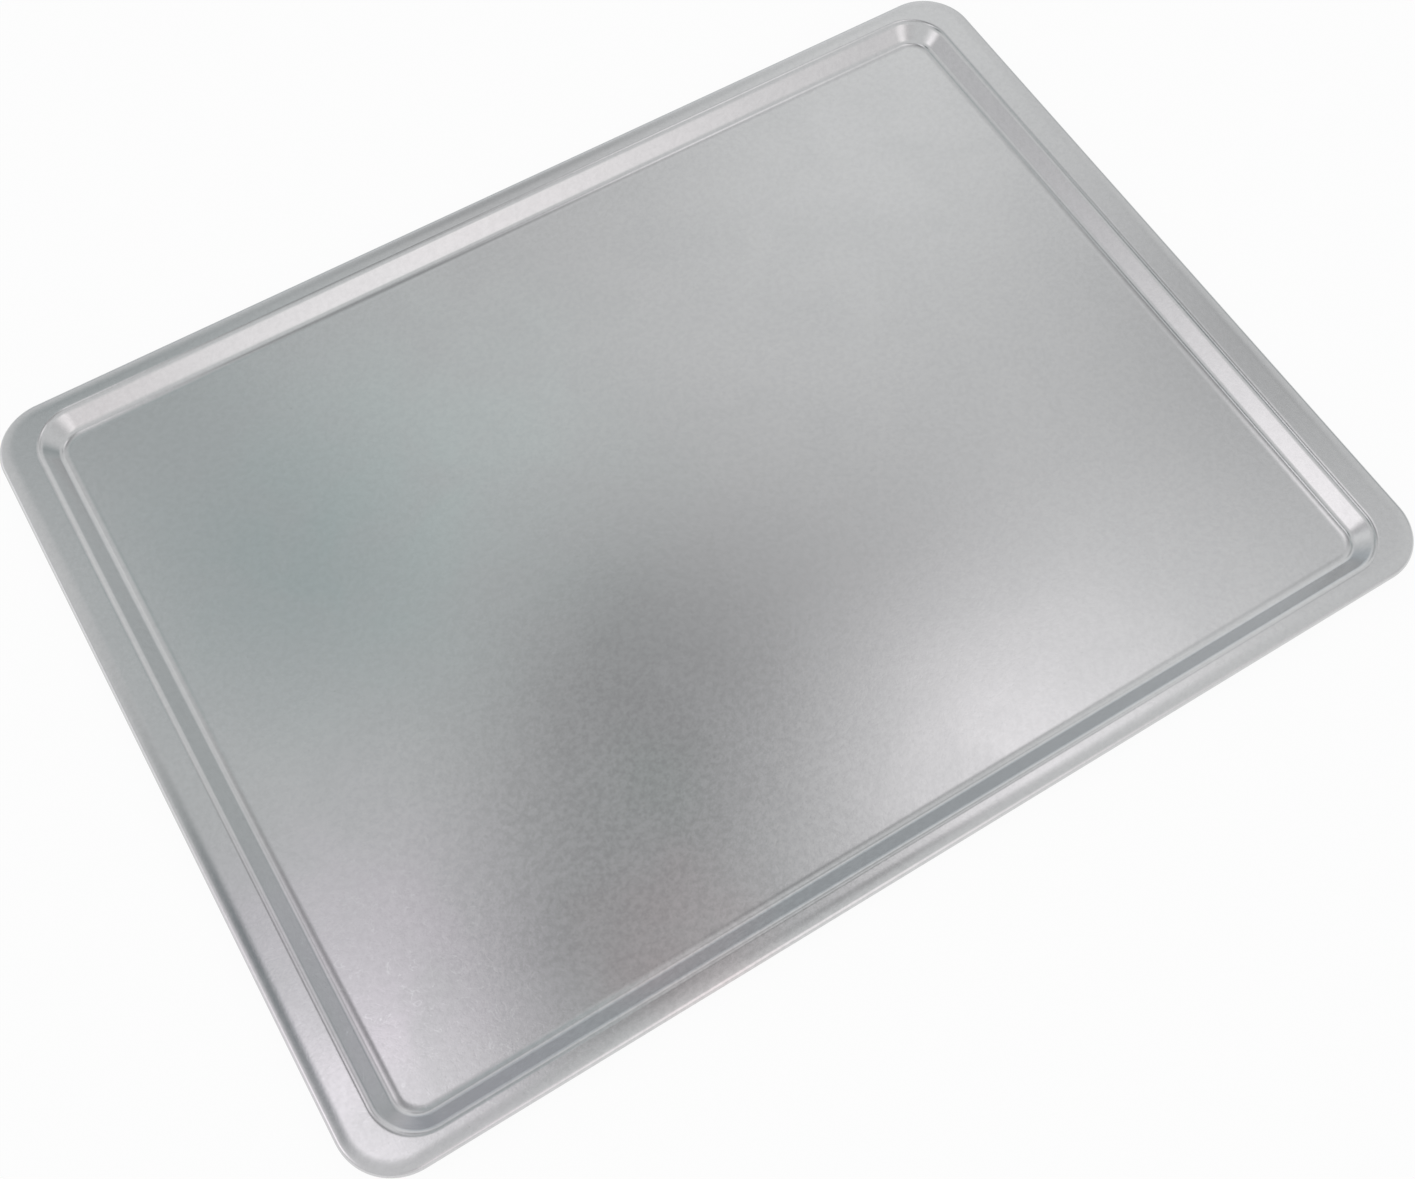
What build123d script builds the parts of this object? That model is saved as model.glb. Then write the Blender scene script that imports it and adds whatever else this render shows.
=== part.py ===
from build123d import *
from math import cos, radians, sin
import os

# A shallow cookie sheet: one pressed metal sheet with a broad flat flange all
# round, its outer edge curled down and round a steel wire that stiffens the rim.
# Origin: centre of the floor's underside. +X runs along the length, +Z is up.

# Sheet, in millimetres
overall_length = 438.0
overall_width = 322.0
sheet_thickness = 0.5
outer_corner_radius = 21.0

# Recess, with soft bends at its mouth and at its floor
recess_depth = 6.5
floor_corner_radius = 6.6
mouth_bend_radius = 4.0
floor_bend_radius = 4.0
wall_slope_angle = 45.0

# Floor's edge: a shallow rise that leads up to the bend
floor_edge_radius = 12.0
floor_edge_angle = 11.0

# Flange's level strip, wider at the two short ends, where the hands grip
long_side_flat = 1.2
short_end_flat = 7.0

# Shoulder: the flange's outer edge falls away gently towards the curl
shoulder_bend_radius = 30.0
shoulder_bend_angle = 8.0

# Rim wire and the curl that wraps it, its angle counted from the level flange
wire_diameter = 3.0
wire_clearance = 0.1
wire_butt_gap = 1.5
curl_wrap_angle = 292.0

# Cuts reach this far past what they cut
cut_overrun = 1.0

quarter_turn = 90.0
three_quarter_turn = 270.0

# Heights
floor_top = sheet_thickness
flange_top = floor_top + recess_depth

# Curl: the wire's bore first, then one sheet thickness round it
wire_radius = wire_diameter / 2
curl_bore_radius = wire_radius + wire_clearance
curl_radius = curl_bore_radius + sheet_thickness
curl_corner_radius = outer_corner_radius - curl_radius
curl_axis_x = overall_length / 2 - outer_corner_radius
curl_axis_y = overall_width / 2 - outer_corner_radius

# Shoulder and curl are tangent, so their centres lie on one line through the joint
shoulder_slope = radians(shoulder_bend_angle)
centre_distance = shoulder_bend_radius - curl_radius
shoulder_corner_radius = curl_corner_radius - centre_distance * sin(shoulder_slope)
shoulder_inset = outer_corner_radius - shoulder_corner_radius
shoulder_height = flange_top - shoulder_bend_radius
curl_height = shoulder_height + centre_distance * cos(shoulder_slope)

# Wall: a bend at the mouth, a straight slope, a bend at the floor and the floor's edge
wall_slope = radians(wall_slope_angle)
edge_slope = radians(floor_edge_angle)
edge_radii_step = floor_edge_radius - floor_bend_radius
bend_radii = mouth_bend_radius + floor_bend_radius
bend_drop = bend_radii * (1 - cos(wall_slope)) + edge_radii_step * (1 - cos(edge_slope))
bend_run = bend_radii * sin(wall_slope) + edge_radii_step * sin(edge_slope)
wall_straight = (recess_depth - bend_drop) / sin(wall_slope)
wall_run = bend_run + wall_straight * cos(wall_slope)

# Mouth and floor outlines share their corner axes, so the wall keeps its section
mouth_length = overall_length - 2 * (shoulder_inset + short_end_flat)
mouth_width = overall_width - 2 * (shoulder_inset + long_side_flat)
mouth_corner_radius = floor_corner_radius + wall_run
floor_length = mouth_length - 2 * wall_run
floor_width = mouth_width - 2 * wall_run
wall_axis_x = floor_length / 2 - floor_corner_radius
wall_axis_y = floor_width / 2 - floor_corner_radius


def ring(section, axis_x, axis_y):
    """Carry a section round four quarter-turn corners and the straight sides between them.

    The section stands in the XZ plane, with x measured outward from the corner's axis.
    """
    corner = revolve(section, Axis.Z, quarter_turn)
    corner_places = ((axis_x, axis_y), (-axis_x, axis_y), (-axis_x, -axis_y), (axis_x, -axis_y))
    pieces = []
    for turn, (x, y) in enumerate(corner_places):
        side_length = 2 * (axis_x if turn % 2 == 0 else axis_y)
        side = extrude(section, side_length, dir=(0, 1, 0))
        pieces.append(Pos(x, y) * Rot(Z=quarter_turn * turn) * corner)
        pieces.append(Pos(x, y) * Rot(Z=quarter_turn * (turn + 1)) * side)
    return pieces[0].fuse(*pieces[1:])


def wall_section():
    """Section of the recess wall, from the flange's edge down to the floor's edge."""
    mouth_centre = (mouth_corner_radius, flange_top - mouth_bend_radius)
    inner_mouth_radius = mouth_bend_radius - sheet_thickness
    mouth_upper = CenterArc(mouth_centre, mouth_bend_radius, quarter_turn, wall_slope_angle)
    mouth_lower = CenterArc(mouth_centre, inner_mouth_radius, quarter_turn, wall_slope_angle)

    edge_centre = (floor_corner_radius, floor_top + floor_edge_radius)
    outer_edge_radius = floor_edge_radius + sheet_thickness
    edge_upper = CenterArc(edge_centre, floor_edge_radius, three_quarter_turn, floor_edge_angle)
    edge_lower = CenterArc(edge_centre, outer_edge_radius, three_quarter_turn, floor_edge_angle)

    floor_centre = (
        edge_centre[0] + edge_radii_step * sin(edge_slope),
        edge_centre[1] - edge_radii_step * cos(edge_slope),
    )
    outer_floor_radius = floor_bend_radius + sheet_thickness
    bend_start = three_quarter_turn + floor_edge_angle
    bend_turn = wall_slope_angle - floor_edge_angle
    floor_upper = CenterArc(floor_centre, floor_bend_radius, bend_start, bend_turn)
    floor_lower = CenterArc(floor_centre, outer_floor_radius, bend_start, bend_turn)
    outline = [
        mouth_upper,
        Line(mouth_upper @ 1, floor_upper @ 1),
        floor_upper,
        edge_upper,
        Line(edge_upper @ 0, edge_lower @ 0),
        edge_lower,
        floor_lower,
        Line(floor_lower @ 1, mouth_lower @ 1),
        mouth_lower,
        Line(mouth_lower @ 0, mouth_upper @ 0),
    ]
    return Plane.XZ * make_face(outline)


def curl_section():
    """Section of the rim: the shoulder, then the sheet turned down, under and back up."""
    shoulder_centre = (shoulder_corner_radius, shoulder_height)
    under_shoulder_radius = shoulder_bend_radius - sheet_thickness
    over_shoulder = CenterArc(shoulder_centre, shoulder_bend_radius, quarter_turn, -shoulder_bend_angle)
    under_shoulder = CenterArc(shoulder_centre, under_shoulder_radius, quarter_turn, -shoulder_bend_angle)

    centre = (curl_corner_radius, curl_height)
    curl_start = quarter_turn - shoulder_bend_angle
    curl_turn = shoulder_bend_angle - curl_wrap_angle
    outside = CenterArc(centre, curl_radius, curl_start, curl_turn)
    bore = CenterArc(centre, curl_bore_radius, curl_start, curl_turn)
    outline = [
        over_shoulder,
        outside,
        Line(outside @ 1, bore @ 1),
        bore,
        under_shoulder,
        Line(under_shoulder @ 0, over_shoulder @ 0),
    ]
    return Plane.XZ * make_face(outline)


def floor_plate():
    outline = RectangleRounded(floor_length, floor_width, floor_corner_radius)
    return extrude(outline, sheet_thickness)


def flange_plate():
    """Level strip of flange between the recess's mouth and the shoulder."""
    length = overall_length - 2 * shoulder_inset
    width = overall_width - 2 * shoulder_inset
    outline = RectangleRounded(length, width, shoulder_corner_radius)
    mouth = RectangleRounded(mouth_length, mouth_width, mouth_corner_radius)
    return Pos(0, 0, flange_top - sheet_thickness) * extrude(outline - mouth, sheet_thickness)


def pressed_sheet():
    """The whole pan as one pressed sheet: floor, wall, flange and curl."""
    wall = ring(wall_section(), wall_axis_x, wall_axis_y)
    curl = ring(curl_section(), curl_axis_x, curl_axis_y)
    return floor_plate().fuse(wall, flange_plate(), curl)


def rim_wire():
    """Steel wire inside the curl, its two ends butted at the middle of one long side."""
    section = Plane.XZ * Pos(curl_corner_radius, curl_height) * Circle(wire_radius)
    wire = ring(section, curl_axis_x, curl_axis_y)
    butt_cut_side = wire_diameter + 2 * cut_overrun
    butt_cut = Box(wire_butt_gap, butt_cut_side, butt_cut_side)
    return wire - Pos(0, curl_axis_y + curl_corner_radius, curl_height) * butt_cut


def write_node(name, part):
    """Write one node's STEP file, named after the node."""
    solid = part.solid()
    solid.label = name
    export_step(solid, f"parts/{name}.step")
    print(f"{name}: {len(part.solids())} solid, {solid.volume:.0f} mm3, valid {solid.is_valid}")


os.makedirs("parts", exist_ok=True)
write_node("pressed_sheet", pressed_sheet())
write_node("rim_wire", rim_wire())
print(f"wall run {wall_run:.2f} mm, straight part {wall_straight:.2f} mm")
print(f"mouth {mouth_length:.1f} x {mouth_width:.1f} mm, corner radius {mouth_corner_radius:.1f} mm")
print(f"floor {floor_length:.1f} x {floor_width:.1f} mm, curl {2 * curl_radius:.1f} mm across")
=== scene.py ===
from math import cos, hypot, radians, sin

import bpy
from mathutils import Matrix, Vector


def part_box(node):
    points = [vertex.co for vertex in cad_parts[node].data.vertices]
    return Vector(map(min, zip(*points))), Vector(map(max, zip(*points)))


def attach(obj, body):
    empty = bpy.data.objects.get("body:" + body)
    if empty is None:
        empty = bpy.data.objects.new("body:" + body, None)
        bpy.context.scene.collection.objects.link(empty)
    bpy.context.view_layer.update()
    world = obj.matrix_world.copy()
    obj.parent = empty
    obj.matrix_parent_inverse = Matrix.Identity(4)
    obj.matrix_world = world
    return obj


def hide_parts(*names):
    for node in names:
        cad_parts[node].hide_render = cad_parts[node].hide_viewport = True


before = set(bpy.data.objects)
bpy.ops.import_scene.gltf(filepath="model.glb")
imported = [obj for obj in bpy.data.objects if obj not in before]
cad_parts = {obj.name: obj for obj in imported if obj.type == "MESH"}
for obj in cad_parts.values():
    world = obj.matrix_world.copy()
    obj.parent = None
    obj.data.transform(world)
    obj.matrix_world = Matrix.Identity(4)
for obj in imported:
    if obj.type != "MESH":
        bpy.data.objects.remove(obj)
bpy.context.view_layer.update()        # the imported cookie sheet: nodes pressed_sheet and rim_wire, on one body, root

mm = 0.001

# where the photograph was taken from
cameraLook = {
    "place": (-0.1639, -0.2576, 0.5542),
    "turn": (25.68, -0.80, -31.39),    # degrees about X, Y and Z
    "lens": 42.87,
    "nearest": 0.01,
    "furthest": 20,
}

# sizes of the pressing that its outer box doesn't give
sheetSizes = {
    "gauge": 0.5 * mm,
    "outerCorner": 21.0 * mm,
    "recessDepth": 6.5 * mm,
    "floorCorner": 6.6 * mm,
    "mouthBend": 4.0 * mm,
    "floorBend": 4.0 * mm,
    "wallSlope": radians(45),
    "floorEdge": 12.0 * mm,        # the floor's edge rises gently to the bend
    "floorEdgeTurn": radians(11),
    "sideFlat": 1.2 * mm,          # the flange's level strip, along the sides and at the ends
    "endFlat": 7.0 * mm,
    "shoulderBend": 30.0 * mm,     # the flange's outer edge falls away gently towards the curl
    "shoulderTurn": radians(8),
    "curlRadius": 2.1 * mm,
    "curlWrap": radians(292),      # counted from the level flange
    "flatStrip": 0.4 * mm,         # kept beside each bend, so that the large faces shade flat
    "bridgeLift": 20 * mm,         # how high the rolled edge is held while it is bridged
    "mergeWithin": 0.01 * mm,
    "sameLevel": mm,               # points this near in height count as level
    "sharpTurn": radians(40),      # edges that turn more than this shade sharp
    "cornerSteps": 24,
    "endSteps": 24,
    "sideSteps": 32,
    "bendSteps": 14,
    "floorEdgeSteps": 6,
    "shoulderSteps": 8,
    "curlSteps": 40,
}

# the floor isn't quite flat: shallow waves pushed up from below, (x, y, reach, height) in mm
floorWaves = [
    (-70, 20, 90, 0.30),
    (60, -30, 80, 0.20),
    (20, 60, 60, 0.15),
    (-110, -50, 60, 0.15),
    (120, 50, 60, 0.15),
]
waveTopShare = 0.2      # the share of a wave's reach that is lifted to its full height


def deselectAll():
    bpy.ops.object.select_all(action='DESELECT')


def makeActive(piece):
    deselectAll()
    piece.select_set(True)
    bpy.context.view_layer.objects.active = piece


def selectPoints(test):
    # picks points of the piece in edit mode by where they lie
    bpy.ops.mesh.select_mode(type='VERT')
    bpy.ops.mesh.select_all(action='DESELECT')
    bpy.ops.object.mode_set(mode='OBJECT')
    for point in bpy.context.active_object.data.vertices:
        point.select = test(point.co)
    bpy.ops.object.mode_set(mode='EDIT')


def selectOpenEdges(test):
    # picks the edges along a sheet's open border by where they lie
    bpy.ops.mesh.select_mode(type='EDGE')
    bpy.ops.mesh.select_all(action='DESELECT')
    bpy.ops.mesh.select_non_manifold(use_wire=False, use_multi_face=False,
                                     use_non_contiguous=False, use_verts=False)
    bpy.ops.object.mode_set(mode='OBJECT')
    mesh = bpy.context.active_object.data
    for edge in mesh.edges:
        edge.select = edge.select and all(test(mesh.vertices[i].co) for i in edge.vertices)
    bpy.ops.object.mode_set(mode='EDIT')


def startVertex(name, place):
    # a new piece that is one selected vertex, its origin at the part's origin
    deselectAll()
    bpy.ops.mesh.primitive_plane_add(size=mm)
    piece = bpy.context.active_object
    piece.name = name
    piece.data.name = name
    bpy.ops.object.mode_set(mode='EDIT')
    bpy.ops.mesh.select_mode(type='VERT')
    bpy.ops.mesh.select_all(action='SELECT')
    bpy.ops.mesh.merge(type='CENTER')
    bpy.ops.transform.translate(value=place)
    return piece


def drawStraight(step):
    bpy.ops.mesh.extrude_region_move(TRANSFORM_OT_translate={"value": step})


def drawBend(centre, angle, steps, axis=(0, 1, 0)):
    # spin counts its angle clockwise about the axis
    bpy.ops.mesh.spin(steps=steps, angle=-angle, center=centre, axis=axis, use_auto_merge=False)


def carryRound(axisX, axisY, sizes):
    # carries the drawn section round the four corners and along the sides between them
    corners = [(axisX, axisY), (-axisX, axisY), (-axisX, -axisY), (axisX, -axisY)]
    bpy.ops.mesh.select_all(action='SELECT')
    for i, (x, y) in enumerate(corners):
        drawBend((x, y, 0), radians(90), sizes["cornerSteps"], axis=(0, 0, 1))
        nextX, nextY = corners[(i + 1) % 4]
        steps = sizes["sideSteps"] if i % 2 == 0 else sizes["endSteps"]
        for n in range(steps):
            drawStraight(((nextX - x) / steps, (nextY - y) / steps, 0))
    bpy.ops.mesh.select_all(action='SELECT')
    bpy.ops.mesh.remove_doubles(threshold=sizes["mergeWithin"])
    bpy.ops.object.mode_set(mode='OBJECT')


def makePressedSheet(sizes):
    low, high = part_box("pressed_sheet")
    top, floorTop = high.z, low.z + sizes["gauge"]
    slope, edgeTurn = sizes["wallSlope"], sizes["floorEdgeTurn"]
    bends = sizes["mouthBend"] + sizes["floorBend"]
    edgeStep = sizes["floorEdge"] - sizes["floorBend"]
    drop = bends * (1 - cos(slope)) + edgeStep * (1 - cos(edgeTurn))
    straight = (sizes["recessDepth"] - drop) / sin(slope)
    run = bends * sin(slope) + edgeStep * sin(edgeTurn) + straight * cos(slope)
    strip = sizes["flatStrip"]
    curl, shoulder, turn = sizes["curlRadius"], sizes["shoulderBend"], sizes["shoulderTurn"]
    wireX = high.x - curl
    shoulderIn = curl + (shoulder - curl) * sin(turn)      # from the outer edge to the level strip

    # recess wall: a strip of flange, the bend at the mouth, the slope, the bend at the floor
    # and the floor's edge
    mouthCorner = sizes["floorCorner"] + run
    wallX = high.x - shoulderIn - sizes["endFlat"] - mouthCorner
    wallY = high.y - shoulderIn - sizes["sideFlat"] - mouthCorner
    mouthX = wallX + mouthCorner
    wall = startVertex("pressedSheet", (mouthX + strip, wallY, top))
    drawStraight((-strip, 0, 0))
    drawBend((mouthX, wallY, top - sizes["mouthBend"]), -slope, sizes["bendSteps"])
    drawStraight((-straight * cos(slope), 0, -straight * sin(slope)))
    floorX = wallX + sizes["floorCorner"]
    edgeZ = floorTop + sizes["floorEdge"]
    bendX, bendZ = floorX + edgeStep * sin(edgeTurn), edgeZ - edgeStep * cos(edgeTurn)
    drawBend((bendX, wallY, bendZ), slope - edgeTurn, sizes["bendSteps"])
    drawBend((floorX, wallY, edgeZ), edgeTurn, sizes["floorEdgeSteps"])
    drawStraight((-strip, 0, 0))
    drawStraight((strip - sizes["floorCorner"], 0, 0))     # on to the corner's axis
    carryRound(wallX, wallY, sizes)

    # floor: a grid whose edge points are the ones that the wall ends on. It starts 2 across, so
    # that its half sizes are what it is resized by
    deselectAll()
    bpy.ops.mesh.primitive_grid_add(x_subdivisions=sizes["sideSteps"],
                                    y_subdivisions=sizes["endSteps"],
                                    size=2, location=(0, 0, floorTop))
    floor = bpy.context.active_object
    bpy.ops.object.mode_set(mode='EDIT')
    bpy.ops.mesh.select_all(action='SELECT')
    bpy.ops.transform.resize(value=(wallX, wallY, 1))
    bpy.ops.object.mode_set(mode='OBJECT')
    bpy.ops.object.transform_apply(location=True, rotation=False, scale=False)

    # rolled edge: a strip of flange, the shoulder, then down, under and back up round the wire
    curlX = high.x - sizes["outerCorner"]
    curlY = high.y - sizes["outerCorner"]
    wireZ = top - shoulder + (shoulder - curl) * cos(turn)
    shoulderX = high.x - shoulderIn
    rolled = startVertex("rolledEdge", (shoulderX - strip, curlY, top))
    drawStraight((strip, 0, 0))
    drawBend((shoulderX, curlY, top - shoulder), turn, sizes["shoulderSteps"])
    drawBend((wireX, curlY, wireZ), sizes["curlWrap"] - turn, sizes["curlSteps"])
    carryRound(curlX, curlY, sizes)

    # one mesh: the floor's edge merges with the wall's, and the flange bridges the two rings.
    # The rolled edge is held up meanwhile, because the bridge turns round between level loops
    lift = sizes["bridgeLift"]
    makeActive(rolled)
    bpy.ops.transform.translate(value=(0, 0, lift))
    makeActive(wall)
    rolled.select_set(True)
    floor.select_set(True)
    bpy.ops.object.join()
    bpy.ops.object.mode_set(mode='EDIT')
    bpy.ops.mesh.select_all(action='SELECT')
    bpy.ops.mesh.remove_doubles(threshold=sizes["mergeWithin"])
    level = sizes["sameLevel"]
    selectOpenEdges(lambda p: abs(p.z - top) < level or abs(p.z - top - lift) < level)
    bpy.ops.mesh.bridge_edge_loops()
    selectPoints(lambda p: p.z > top + level)
    bpy.ops.transform.translate(value=(0, 0, -lift))
    bpy.ops.mesh.select_all(action='SELECT')
    bpy.ops.mesh.normals_make_consistent(inside=False)

    # the shallow waves in the floor
    for x, y, reach, height in floorWaves:
        middle = Vector((x * mm, y * mm, floorTop))
        selectPoints(lambda p: (p - middle).length < waveTopShare * reach * mm)
        bpy.ops.transform.translate(value=(0, 0, height * mm), use_proportional_edit=True,
                                    proportional_edit_falloff='SMOOTH', proportional_size=reach * mm)
    bpy.ops.object.mode_set(mode='OBJECT')

    # the metal's thickness, below the face that has been drawn
    thickness = wall.modifiers.new("gauge", 'SOLIDIFY')
    thickness.thickness = sizes["gauge"]
    thickness.offset = -1
    thickness.use_even_offset = True
    thickness.use_quality_normals = True
    makeActive(wall)
    bpy.ops.object.modifier_apply(modifier=thickness.name)
    bpy.ops.object.shade_smooth_by_angle(angle=sizes["sharpTurn"])
    return wall


# satin coated steel: duller clouds, a fine grain that is coarser in one patch, small dark specks,
# faint rolling lines, low pebbling with pits, and thin curly scuffs, most of them near one corner.
# A span is the part of a noise, from 0 to 1, that is spread over the whole effect
sheetFinish = {
    "tone": (0.616, 0.618, 0.620),
    "dullTone": (0.588, 0.593, 0.596),
    "dullShare": 0.5,
    "dullSpan": (0.4, 0.7),
    "swaySize": 45 * mm,                 # how the patches' outlines wander
    "swayReach": 45 * mm,
    "cloudSize": 34 * mm,
    "cloudTwist": 0.6,
    "roughness": 0.17,
    "cloudRoughness": 0.015,             # how far clouds and rolling lines move the roughness
    "rollingRoughness": 0.005,
    "roughnessSpan": (0.3, 0.7),
    "rollingTurn": radians(60),
    "rollingWidth": 2.2 * mm,
    "rollingLength": 120 * mm,
    "grainSize": 2.4 * mm,
    "grainSpan": (0.42, 0.60),
    "grainDepth": 0.045,                 # how far the grain's tone swings, as a share of the tone
    "coarsePatch": (-85, -100, 120),     # x, y and reach in mm
    "coarseDepth": 0.16,
    "bumpSize": 0.8 * mm,
    "bumpHeight": 0.0035 * mm,
    "pitSize": 1.1 * mm,
    "pitDepth": 0.004 * mm,
    "pitSpan": (0.5, 0.75),
    "speckTone": (0.30, 0.30, 0.31),
    "speckShare": 0.45,
    "speckSpacing": 9 * mm,
    "speckSize": 0.22 * mm,
    "speckCore": 0.6,                    # the share of a speck's size that is darkest
    "scuffTone": (0.88, 0.89, 0.90),
    "scuffShare": 0.4,
    "scuffPatch": (-170, -105, 85),      # where most of them are: x, y and reach in mm
    "scuffElsewhere": 0.12,              # their strength everywhere else, as a share
    "scuffSize": 9 * mm,
    "scuffTwist": 2.0,
    "scuffWidth": 0.012,                 # half a scuff's width, as a share of its noise
    "breakSize": 6 * mm,                 # the breaks in the scuffs
    "breakSpan": (0.44, 0.54),
}
noiseMiddle = 0.5      # what a noise is on average

# broad faint tints blended into the colour by place: x, y and reach in mm, then the tone
tintPatches = {
    "greenLeft": (-90, 60, 130, (0.579, 0.623, 0.618)),
    "lavenderCorner": (-185, -95, 90, (0.645, 0.616, 0.651)),
    "rosyFront": (-92, -142, 42, (0.663, 0.616, 0.618)),
    "greenFront": (-74, -92, 34, (0.600, 0.624, 0.614)),
}


def newMaterial(name):
    material = bpy.data.materials.new(name)
    material.use_nodes = True
    tree = material.node_tree
    tree.nodes.clear()
    output = tree.nodes.new('ShaderNodeOutputMaterial')
    metal = tree.nodes.new('ShaderNodeBsdfPrincipled')
    metal.inputs["Metallic"].default_value = 1.0
    tree.links.new(metal.outputs["BSDF"], output.inputs["Surface"])
    return material, tree, metal


def objectCoords(tree, turn=0.0, stretch=(1, 1, 1)):
    # object coordinates in metres, turned about Z and then stretched
    coords = tree.nodes.new('ShaderNodeTexCoord')
    turned = tree.nodes.new('ShaderNodeMapping')
    turned.vector_type = 'TEXTURE'
    turned.inputs["Rotation"].default_value = (0, 0, turn)
    turned.inputs["Scale"].default_value = stretch
    tree.links.new(coords.outputs["Object"], turned.inputs["Vector"])
    return turned.outputs["Vector"]


def noise(tree, coords, size, detail=2.0, roughness=0.5, distortion=0.0):
    texture = tree.nodes.new('ShaderNodeTexNoise')
    texture.inputs["Scale"].default_value = 1 / size
    texture.inputs["Detail"].default_value = detail
    texture.inputs["Roughness"].default_value = roughness
    texture.inputs["Distortion"].default_value = distortion
    tree.links.new(coords, texture.inputs["Vector"])
    return texture.outputs["Fac"]


def spread(tree, value, low, high, newLow, newHigh, soft=False):
    # maps a value from one range to another, held within it
    mapped = tree.nodes.new('ShaderNodeMapRange')
    mapped.interpolation_type = 'SMOOTHSTEP' if soft else 'LINEAR'
    mapped.inputs["From Min"].default_value = low
    mapped.inputs["From Max"].default_value = high
    mapped.inputs["To Min"].default_value = newLow
    mapped.inputs["To Max"].default_value = newHigh
    tree.links.new(value, mapped.inputs["Value"])
    return mapped.outputs["Result"]


def swayed(tree, coords, size, reach):
    # coordinates that wander from their place, for outlines that aren't round
    texture = tree.nodes.new('ShaderNodeTexNoise')
    texture.inputs["Scale"].default_value = 1 / size
    middle = tree.nodes.new('ShaderNodeVectorMath')
    middle.operation = 'SUBTRACT'
    middle.inputs[1].default_value = (noiseMiddle, noiseMiddle, noiseMiddle)
    moved = tree.nodes.new('ShaderNodeVectorMath')
    moved.operation = 'MULTIPLY_ADD'
    moved.inputs[1].default_value = (reach, reach, 0)
    tree.links.new(coords, texture.inputs["Vector"])
    tree.links.new(texture.outputs["Color"], middle.inputs[0])
    tree.links.new(middle.outputs["Vector"], moved.inputs[0])
    tree.links.new(coords, moved.inputs[2])
    return moved.outputs["Vector"]


def patch(tree, coords, x, y, reach):
    # a soft round patch, 1 in its middle and 0 at its reach, in mm
    away = tree.nodes.new('ShaderNodeVectorMath')
    away.operation = 'DISTANCE'
    away.inputs[1].default_value = (x * mm, y * mm, 0)
    tree.links.new(coords, away.inputs[0])
    return spread(tree, away.outputs["Value"], 0, reach * mm, 1, 0, soft=True)


def sums(tree, operation, first, second):
    node = tree.nodes.new('ShaderNodeMath')
    node.operation = operation
    for socket, value in zip(node.inputs, (first, second)):
        if isinstance(value, (int, float)):
            socket.default_value = value
        else:
            tree.links.new(value, socket)
    return node.outputs["Value"]


def blendTones(tree, share, first, second):
    mix = tree.nodes.new('ShaderNodeMix')
    mix.data_type = 'RGBA'
    tree.links.new(share, mix.inputs["Factor"])
    for socket, tone in ((mix.inputs["A"], first), (mix.inputs["B"], second)):
        if isinstance(tone, tuple):
            socket.default_value = (*tone, 1)
        else:
            tree.links.new(tone, socket)
    return mix.outputs["Result"]


def relief(tree, height, depth, onto=None):
    bump = tree.nodes.new('ShaderNodeBump')
    bump.inputs["Distance"].default_value = depth
    tree.links.new(height, bump.inputs["Height"])
    if onto is not None:
        tree.links.new(onto, bump.inputs["Normal"])
    return bump.outputs["Normal"]


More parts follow.
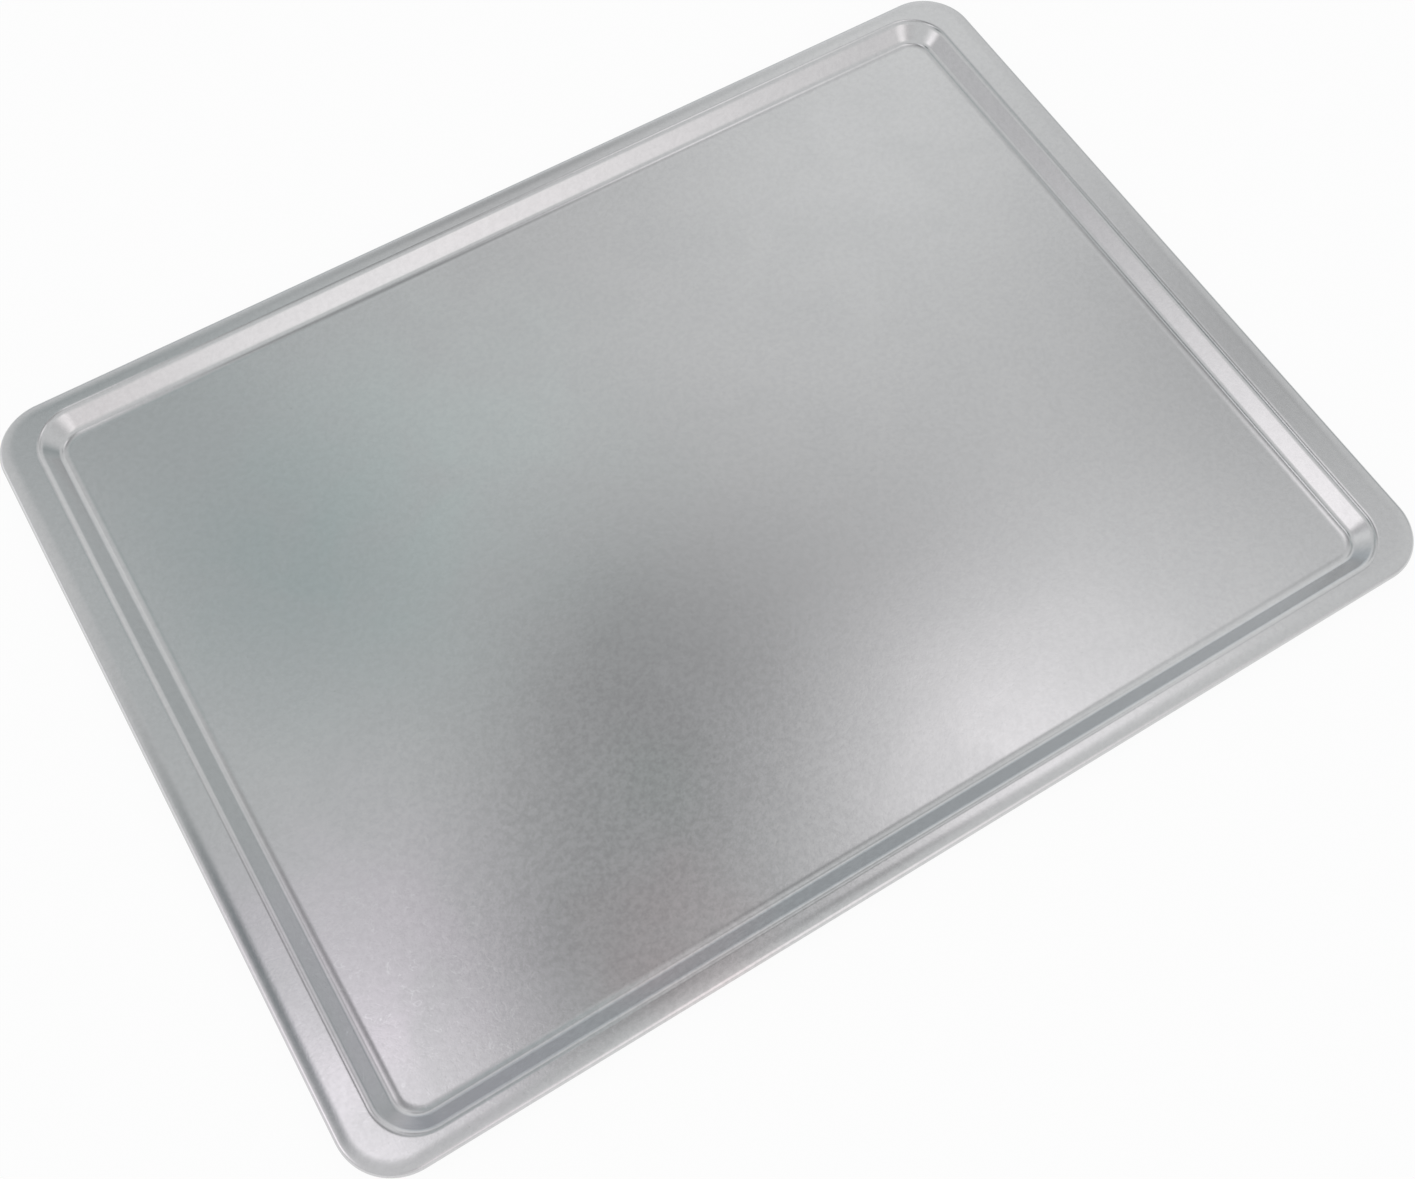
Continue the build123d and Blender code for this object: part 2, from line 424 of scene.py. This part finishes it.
def makeSheetMetal(finish, tints):
    material, tree, metal = newMaterial("sheetMetal")
    plain = objectCoords(tree)
    rollingStretch = (finish["rollingLength"], finish["rollingWidth"], 1)
    alongRolling = objectCoords(tree, finish["rollingTurn"], rollingStretch)
    wandering = swayed(tree, plain, finish["swaySize"], finish["swayReach"])
    clouds = noise(tree, plain, finish["cloudSize"], detail=3, distortion=finish["cloudTwist"])
    rolling = noise(tree, alongRolling, size=1, detail=3, roughness=0.6)
    grain = noise(tree, plain, finish["grainSize"], detail=4, roughness=0.85)

    # colour: broad tints, duller clouds, then the grain, which is coarser in one patch
    tone = finish["tone"]
    for x, y, reach, tint in tints.values():
        tone = blendTones(tree, patch(tree, wandering, x, y, reach), tone, tint)
    dull = spread(tree, clouds, *finish["dullSpan"], 0, finish["dullShare"])
    tone = blendTones(tree, dull, tone, finish["dullTone"])
    coarse = patch(tree, wandering, *finish["coarsePatch"])
    depth = spread(tree, coarse, 0, 1, finish["grainDepth"], finish["coarseDepth"])
    halfSwing = spread(tree, grain, *finish["grainSpan"], 0.5, -0.5)      # half of it either way
    swing = sums(tree, 'MULTIPLY', halfSwing, depth)
    grained = tree.nodes.new('ShaderNodeVectorMath')
    grained.operation = 'SCALE'
    tree.links.new(tone, grained.inputs["Vector"])
    tree.links.new(sums(tree, 'ADD', swing, 1.0), grained.inputs["Scale"])
    tone = grained.outputs["Vector"]

    # thin curly scuffs, where a soft noise crosses its middle
    scuffNoise = noise(tree, plain, finish["scuffSize"], detail=1.5, distortion=finish["scuffTwist"])
    offMiddle = sums(tree, 'ABSOLUTE', sums(tree, 'SUBTRACT', scuffNoise, noiseMiddle), 0.0)
    scuffLine = spread(tree, offMiddle, 0, finish["scuffWidth"], finish["scuffShare"], 0)
    breaks = noise(tree, plain, finish["breakSize"], detail=1)
    broken = spread(tree, breaks, *finish["breakSpan"], 0, 1)
    scuffed = patch(tree, wandering, *finish["scuffPatch"])
    strength = spread(tree, scuffed, 0, 1, finish["scuffElsewhere"], 1)
    scuff = sums(tree, 'MULTIPLY', scuffLine, strength)
    scuff = sums(tree, 'MULTIPLY', scuff, broken)
    tone = blendTones(tree, scuff, tone, finish["scuffTone"])

    # small dark specks
    cells = tree.nodes.new('ShaderNodeTexVoronoi')
    cells.inputs["Scale"].default_value = 1 / finish["speckSpacing"]
    tree.links.new(plain, cells.inputs["Vector"])
    speckEdge = finish["speckSize"] / finish["speckSpacing"]
    speckCore = finish["speckCore"] * speckEdge
    speck = spread(tree, cells.outputs["Distance"], speckCore, speckEdge, finish["speckShare"], 0)
    tree.links.new(blendTones(tree, speck, tone, finish["speckTone"]), metal.inputs["Base Color"])

    # roughness: clouds and rolling lines
    cloudMove, rollingMove = finish["cloudRoughness"], finish["rollingRoughness"]
    cloudPart = spread(tree, clouds, *finish["roughnessSpan"], -cloudMove, cloudMove)
    rollingPart = spread(tree, rolling, *finish["roughnessSpan"], -rollingMove, rollingMove)
    roughness = sums(tree, 'ADD', sums(tree, 'ADD', cloudPart, rollingPart), finish["roughness"])
    tree.links.new(roughness, metal.inputs["Roughness"])

    # relief: a low even pebbling, and sparse steeper pits
    pebbles = noise(tree, plain, finish["bumpSize"], detail=2, roughness=0.5)
    pitNoise = noise(tree, plain, finish["pitSize"], detail=2, roughness=0.6)
    pits = spread(tree, pitNoise, *finish["pitSpan"], 1, 0)
    pebbled = relief(tree, pebbles, finish["bumpHeight"])
    tree.links.new(relief(tree, pits, finish["pitDepth"], onto=pebbled), metal.inputs["Normal"])
    return material


# drawn steel wire, duller than the sheet
wireFinish = {
    "paleTone": (0.46, 0.46, 0.47),
    "dullTone": (0.36, 0.36, 0.37),
    "blotchSize": 6 * mm,
    "blotchSpan": (0.35, 0.65),
    "drawnSize": 0.3 * mm,         # the fine marks of the drawing
    "drawnSpan": (0.3, 0.7),
    "drawnRoughness": 0.06,        # how far the marks move the roughness
    "drawnDepth": 0.02 * mm,
    "roughness": 0.38,
}


def makeDrawnWire(finish):
    material, tree, metal = newMaterial("drawnWire")
    plain = objectCoords(tree)
    fine = noise(tree, plain, finish["drawnSize"], detail=3, roughness=0.6)
    blotches = noise(tree, plain, finish["blotchSize"], detail=3)
    share = spread(tree, blotches, *finish["blotchSpan"], 0, 1)
    tone = blendTones(tree, share, finish["paleTone"], finish["dullTone"])
    tree.links.new(tone, metal.inputs["Base Color"])
    drawnMove = finish["drawnRoughness"]
    drawnPart = spread(tree, fine, *finish["drawnSpan"], -drawnMove, drawnMove)
    roughness = sums(tree, 'ADD', drawnPart, finish["roughness"])
    tree.links.new(roughness, metal.inputs["Roughness"])
    tree.links.new(relief(tree, fine, finish["drawnDepth"]), metal.inputs["Normal"])
    return material


# the ground that it stands on: pale, near white where the camera or the metal sees it
groundLook = {
    "reach": 6.0,
    "below": 0.05 * mm,
    "tone": (0.86, 0.86, 0.86),
    "whiteShare": 0.93,
}


def makeGround(look):
    deselectAll()
    bpy.ops.mesh.primitive_plane_add(size=look["reach"], location=(0, 0, -look["below"]))
    ground = bpy.context.active_object
    ground.name = "ground"
    material = bpy.data.materials.new("paleGround")
    material.use_nodes = True
    tree = material.node_tree
    tree.nodes.clear()
    output = tree.nodes.new('ShaderNodeOutputMaterial')
    matt = tree.nodes.new('ShaderNodeBsdfDiffuse')
    matt.inputs["Color"].default_value = (*look["tone"], 1)
    white = tree.nodes.new('ShaderNodeEmission')
    rays = tree.nodes.new('ShaderNodeLightPath')
    seen = sums(tree, 'MAXIMUM', rays.outputs["Is Camera Ray"], rays.outputs["Is Glossy Ray"])
    mix = tree.nodes.new('ShaderNodeMixShader')
    tree.links.new(sums(tree, 'MULTIPLY', seen, look["whiteShare"]), mix.inputs["Fac"])
    tree.links.new(matt.outputs["BSDF"], mix.inputs[1])
    tree.links.new(white.outputs["Emission"], mix.inputs[2])
    tree.links.new(mix.outputs["Shader"], output.inputs["Surface"])
    ground.data.materials.append(material)


# soft studio light: an even grey room with broad soft panels, and dark cards between them.
# Each has its direction (degrees from straight up, towards +X and towards +Y), its width in
# degrees, its strength and its tint
roomTone = (0.795, 0.80, 0.805)
softPanels = {
    "overheadLeft": (-6, 12, 3.5, 0.95, (1.03, 0.98, 1.02)),
    "overheadRight": (20, 10, 4, 0.70, (1.06, 0.99, 1.03)),
    "backHigh": (27, 33, 4, 0.15, (1.0, 1.0, 1.0)),
    "backMiddle": (14, 57, 8, 0.15, (1.0, 1.0, 1.0)),
    "backLow": (36, 57, 11, 0.20, (1.0, 1.0, 1.0)),
    "leftLow": (-60, 10, 9, 0.92, (1.04, 0.97, 1.0)),
    "leftBackLow": (-63, 47, 14, 0.50, (1.0, 0.99, 1.02)),
    "frontLow": (9, -61, 14, 0.57, (1.08, 0.97, 0.99)),
    "frontMiddle": (12, -40, 5, 0.34, (1.04, 0.98, 0.97)),
}
darkCards = {
    "overheadCard": (11, 19, 4.5, -0.50, (1.0, 1.0, 1.0)),
    "overheadNearCard": (4, 13, 3, -0.40, (1.0, 1.0, 1.0)),
    "overheadRightCard": (21, 18, 2.5, -0.25, (1.0, 1.0, 1.0)),
    "overheadBackCard": (1, 29, 3.5, -0.30, (1.2, 1.0, 1.0)),
    "overheadFrontCard": (5, 5, 5.5, -0.20, (1.0, 1.0, 1.0)),
    "frontHighCard": (14, 4, 2.5, -0.60, (1.0, 1.0, 1.0)),
    "leftHighCard": (-14, 18, 5, -0.70, (1.05, 1.0, 1.0)),
    "backHighCard": (-2, 41, 5, -0.35, (1.1, 1.0, 1.0)),
    "backCard": (15, 46, 6, -0.40, (1.0, 1.0, 1.0)),
    "rightHighCard": (36, 18, 4, -0.32, (1.0, 1.0, 1.0)),
    "leftLowCard": (-53, 31, 9, -0.45, (1.0, 1.0, 1.0)),
    "frontLeftCard": (-11, -53, 9, -0.30, (1.0, 1.0, 1.0)),
    "frontRightCard": (38, -46, 9, -0.15, (1.0, 1.0, 1.0)),
    "rightLowCard": (73, 17, 9, -0.34, (1.1, 1.0, 1.0)),
    "backRightLowCard": (73, 45, 9, -0.20, (1.1, 1.0, 1.0)),
    "backLowCard": (8, 82, 15, -0.20, (1.15, 1.0, 0.9)),
    "backLowRightCard": (40, 78, 12, -0.12, (1.15, 1.0, 0.9)),
}


def lightRoom(tone, panels):
    world = bpy.data.worlds.new("studio")
    bpy.context.scene.world = world
    world.use_nodes = True
    tree = world.node_tree
    tree.nodes.clear()
    output = tree.nodes.new('ShaderNodeOutputWorld')
    coords = tree.nodes.new('ShaderNodeTexCoord')
    total = tree.nodes.new('ShaderNodeVectorMath')
    total.operation = 'ADD'
    total.inputs[0].default_value = tone
    for tiltX, tiltY, width, strength, tint in panels:
        down = hypot(tiltX, tiltY)
        level = sin(radians(down)) / down
        towards = (tiltX * level, tiltY * level, cos(radians(down)))
        dot = tree.nodes.new('ShaderNodeVectorMath')
        dot.operation = 'DOT_PRODUCT'
        dot.inputs[1].default_value = towards
        tree.links.new(coords.outputs["Generated"], dot.inputs[0])
        # e to the power of (cosine - 1) / width squared, a soft round patch
        away = sums(tree, 'SUBTRACT', dot.outputs["Value"], 1.0)
        fade = sums(tree, 'EXPONENT', sums(tree, 'MULTIPLY', away, 1 / radians(width) ** 2), 0.0)
        glow = tree.nodes.new('ShaderNodeVectorMath')
        glow.operation = 'SCALE'
        glow.inputs[0].default_value = tuple(strength * part for part in tint)
        tree.links.new(fade, glow.inputs["Scale"])
        tree.links.new(glow.outputs["Vector"], total.inputs[1])
        following = tree.nodes.new('ShaderNodeVectorMath')
        following.operation = 'ADD'
        tree.links.new(total.outputs["Vector"], following.inputs[0])
        total = following
    total.inputs[1].default_value = (0, 0, 0)      # the last sum has nothing left to add
    room = tree.nodes.new('ShaderNodeBackground')
    tree.links.new(total.outputs["Vector"], room.inputs["Color"])
    white = tree.nodes.new('ShaderNodeBackground')
    white.inputs["Color"].default_value = (1, 1, 1, 1)
    rays = tree.nodes.new('ShaderNodeLightPath')
    mix = tree.nodes.new('ShaderNodeMixShader')
    tree.links.new(rays.outputs["Is Camera Ray"], mix.inputs["Fac"])
    tree.links.new(room.outputs["Background"], mix.inputs[1])
    tree.links.new(white.outputs["Background"], mix.inputs[2])
    tree.links.new(mix.outputs["Shader"], output.inputs["Surface"])


def placeCamera(look):
    data = bpy.data.cameras.new("camera")
    data.lens = look["lens"]
    data.clip_start = look["nearest"]
    data.clip_end = look["furthest"]
    camera = bpy.data.objects.new("camera", data)
    camera.location = look["place"]
    camera.rotation_euler = [radians(angle) for angle in look["turn"]]
    bpy.context.scene.collection.objects.link(camera)
    bpy.context.scene.camera = camera


print("pressed sheet")
pressedSheet = makePressedSheet(sheetSizes)
pressedSheet.data.materials.clear()
pressedSheet.data.materials.append(makeSheetMetal(sheetFinish, tintPatches))
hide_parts("pressed_sheet")
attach(pressedSheet, "root")

print("rim wire")
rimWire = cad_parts["rim_wire"]
rimWire.data.materials.clear()
rimWire.data.materials.append(makeDrawnWire(wireFinish))

print("ground, light and camera")
makeGround(groundLook)
lightRoom(roomTone, [*softPanels.values(), *darkCards.values()])
placeCamera(cameraLook)
bpy.context.scene.view_settings.view_transform = 'Standard'
